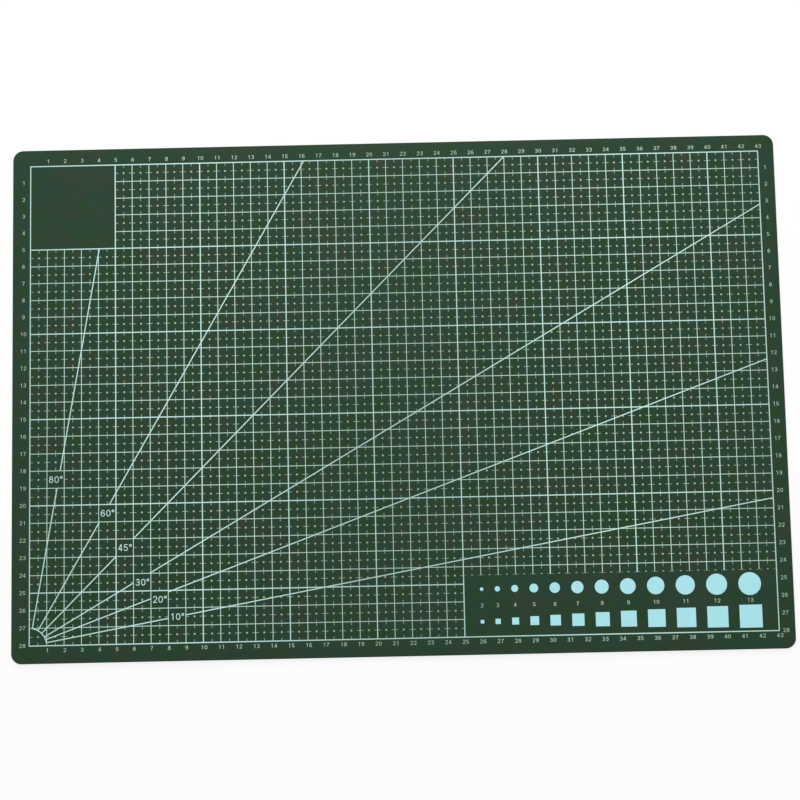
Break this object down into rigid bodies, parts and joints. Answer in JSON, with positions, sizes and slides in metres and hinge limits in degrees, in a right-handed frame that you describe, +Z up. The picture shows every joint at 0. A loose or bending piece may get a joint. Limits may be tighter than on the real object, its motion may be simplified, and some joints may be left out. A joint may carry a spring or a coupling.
{
  "type": "cutting mat",
  "caption": "Flat self-healing craft cutting mat with rounded corners: a white core between green skins, printed with a centimetre grid, angle lines and a size gauge of discs and squares.",
  "frame": {"origin": "centre of the underside, on the table", "axes": "+X along the long side, to the right as the numerals read; +Y along the short side, away from the reader; +Z up, out of the printed face"},
  "size_m": [0.45, 0.3, 0.0031],
  "materials": {
    "skin_green": "matte soft PVC with a fine pebble grain",
    "core_white": "cut PVC edge, slightly rough",
    "print_ink": "thin satin screen-printed ink"
  },
  "bodies": {
    "root": {"bottom_skin": "skin_green", "core_sheet": "core_white", "top_skin": "skin_green", "upright_rules": "print_ink", "level_rules": "print_ink", "angle_fan": "print_ink", "angle_line_10": "print_ink", "angle_line_20": "print_ink", "angle_line_30": "print_ink", "angle_line_45": "print_ink", "angle_line_60": "print_ink", "angle_line_80": "print_ink", "gauge_disc_01": "print_ink", "gauge_disc_02": "print_ink", "gauge_disc_03": "print_ink", "gauge_disc_04": "print_ink", "gauge_disc_05": "print_ink", "gauge_disc_06": "print_ink", "gauge_disc_07": "print_ink", "gauge_disc_08": "print_ink", "gauge_disc_09": "print_ink", "gauge_disc_10": "print_ink", "gauge_disc_11": "print_ink", "gauge_disc_12": "print_ink", "gauge_square_01": "print_ink", "gauge_square_02": "print_ink", "gauge_square_03": "print_ink", "gauge_square_04": "print_ink", "gauge_square_05": "print_ink", "gauge_square_06": "print_ink", "gauge_square_07": "print_ink", "gauge_square_08": "print_ink", "gauge_square_09": "print_ink", "gauge_square_10": "print_ink", "gauge_square_11": "print_ink", "gauge_square_12": "print_ink"}
  },
  "joints": []
}
